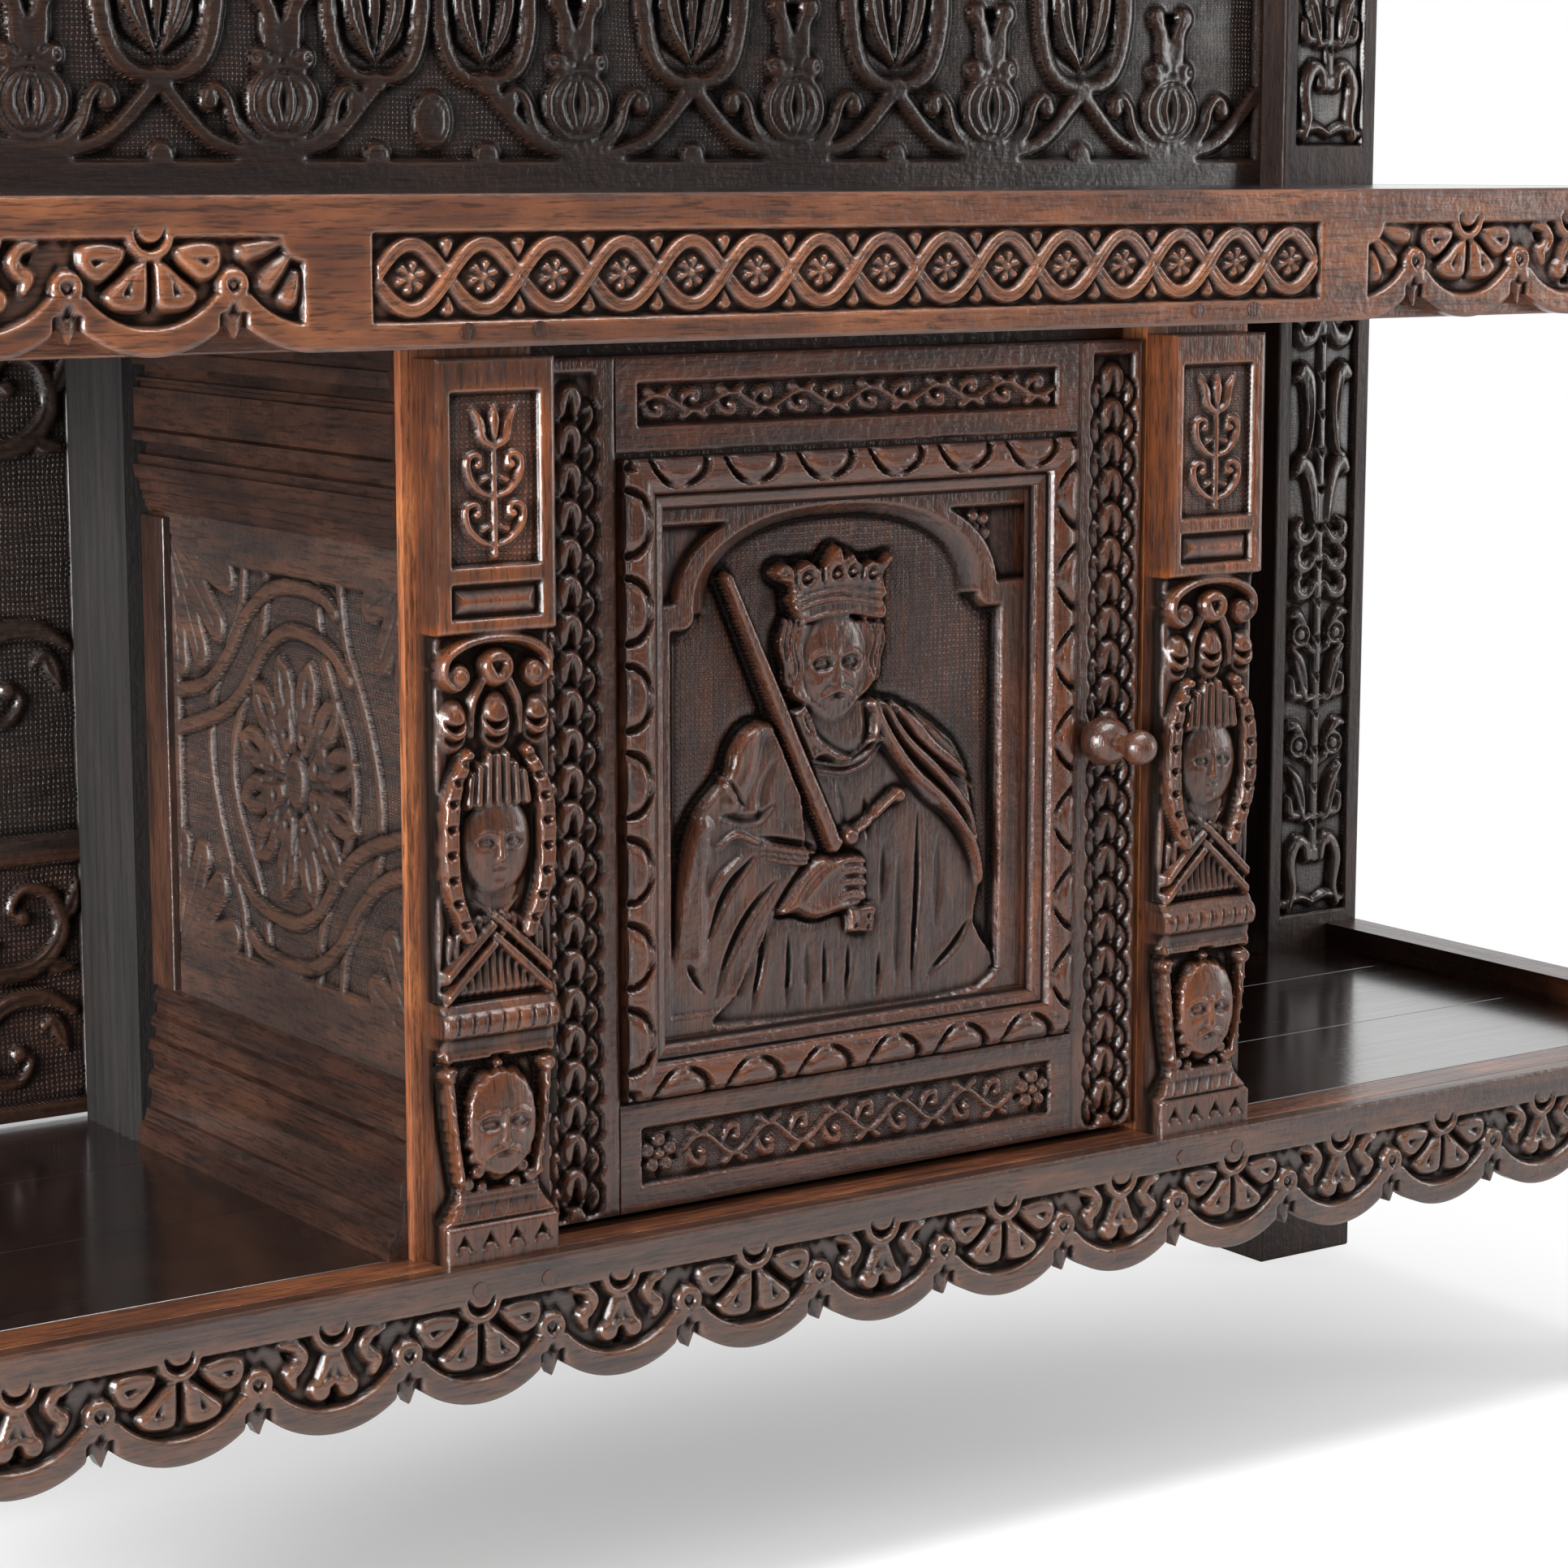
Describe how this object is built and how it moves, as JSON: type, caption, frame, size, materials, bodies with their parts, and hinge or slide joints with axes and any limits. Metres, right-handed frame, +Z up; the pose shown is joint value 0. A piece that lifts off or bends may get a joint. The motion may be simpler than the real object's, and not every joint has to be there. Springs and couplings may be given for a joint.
{
  "type": "court cupboard",
  "caption": "Oak court cupboard: open shelves on turned front supports and carved rear posts, a small cupboard with a hinged door between them, and carved scalloped rails.",
  "frame": {"origin": "centre of the footprint on the floor", "axes": "+X along the front to the right, +Y from the front to the back, +Z up"},
  "size_m": [1.528, 0.4864, 1.313],
  "materials": {
    "frame_oak": "satin",
    "shelf_oak": "satin",
    "door_oak": "satin",
    "orange_oak": "satin",
    "panel_oak": "satin",
    "hinge_iron": "satin"
  },
  "bodies": {
    "frame": {"bottom_back_rail": "panel_oak", "bottom_end_rail_left": "frame_oak", "bottom_end_rail_right": "frame_oak", "bottom_fascia": "frame_oak", "bottom_front_rail": "frame_oak", "bottom_shelf_boards": "shelf_oak", "cornice_moulding": "frame_oak", "cupboard_head_rail": "orange_oak", "frame_pegs": "frame_oak", "frieze_fascia": "frame_oak", "front_foot_left": "frame_oak", "front_foot_right": "frame_oak", "front_post_left": "orange_oak", "front_post_right": "orange_oak", "hinge_pins": "hinge_iron", "hinge_post_leaves": "hinge_iron", "lower_back_lower_board": "panel_oak", "lower_back_upper_board": "panel_oak", "lower_support_left": "frame_oak", "lower_support_right": "frame_oak", "mid_back_rail": "panel_oak", "mid_end_rail_left": "frame_oak", "mid_end_rail_right": "frame_oak", "mid_fascia": "frame_oak", "mid_front_rail": "frame_oak", "mid_shelf_boards": "shelf_oak", "pilaster_left": "orange_oak", "pilaster_right": "orange_oak", "rear_post_left": "frame_oak", "rear_post_right": "frame_oak", "side_bottom_rail_left": "panel_oak", "side_bottom_rail_right": "panel_oak", "side_muntin_left": "panel_oak", "side_muntin_right": "panel_oak", "side_panel_left": "panel_oak", "side_panel_right": "panel_oak", "side_rear_stile_left": "panel_oak", "side_rear_stile_right": "panel_oak", "side_top_rail_left": "panel_oak", "side_top_rail_right": "panel_oak", "top_back_rail": "panel_oak", "top_board": "shelf_oak", "top_end_rail_left": "frame_oak", "top_end_rail_right": "frame_oak", "top_front_rail": "frame_oak", "upper_back_panel": "panel_oak", "upper_support_left": "frame_oak", "upper_support_right": "frame_oak"},
    "door": {"door_stile_left": "door_oak", "door_stile_right": "door_oak", "door_bottom_rail": "door_oak", "door_top_rail": "door_oak", "door_panel": "door_oak", "door_mouldings": "door_oak", "hinge_door_leaves": "hinge_iron"},
    "knob": {"door_knob": "door_oak", "knob_spindle": "door_oak", "turn_button": "door_oak"}
  },
  "joints": [
    {"name": "door_hinge", "type": "hinge", "parent": "frame", "child": "door", "pos_m": [-0.217, -0.1878, 0.5], "axis": [0, 0, -1], "range_deg": [0, 95]},
    {"name": "knob_turn", "type": "hinge", "parent": "door", "child": "knob", "pos_m": [0.179, -0.1838, 0.504], "axis": [0, 1, 0], "range_deg": [0, 90]}
  ]
}
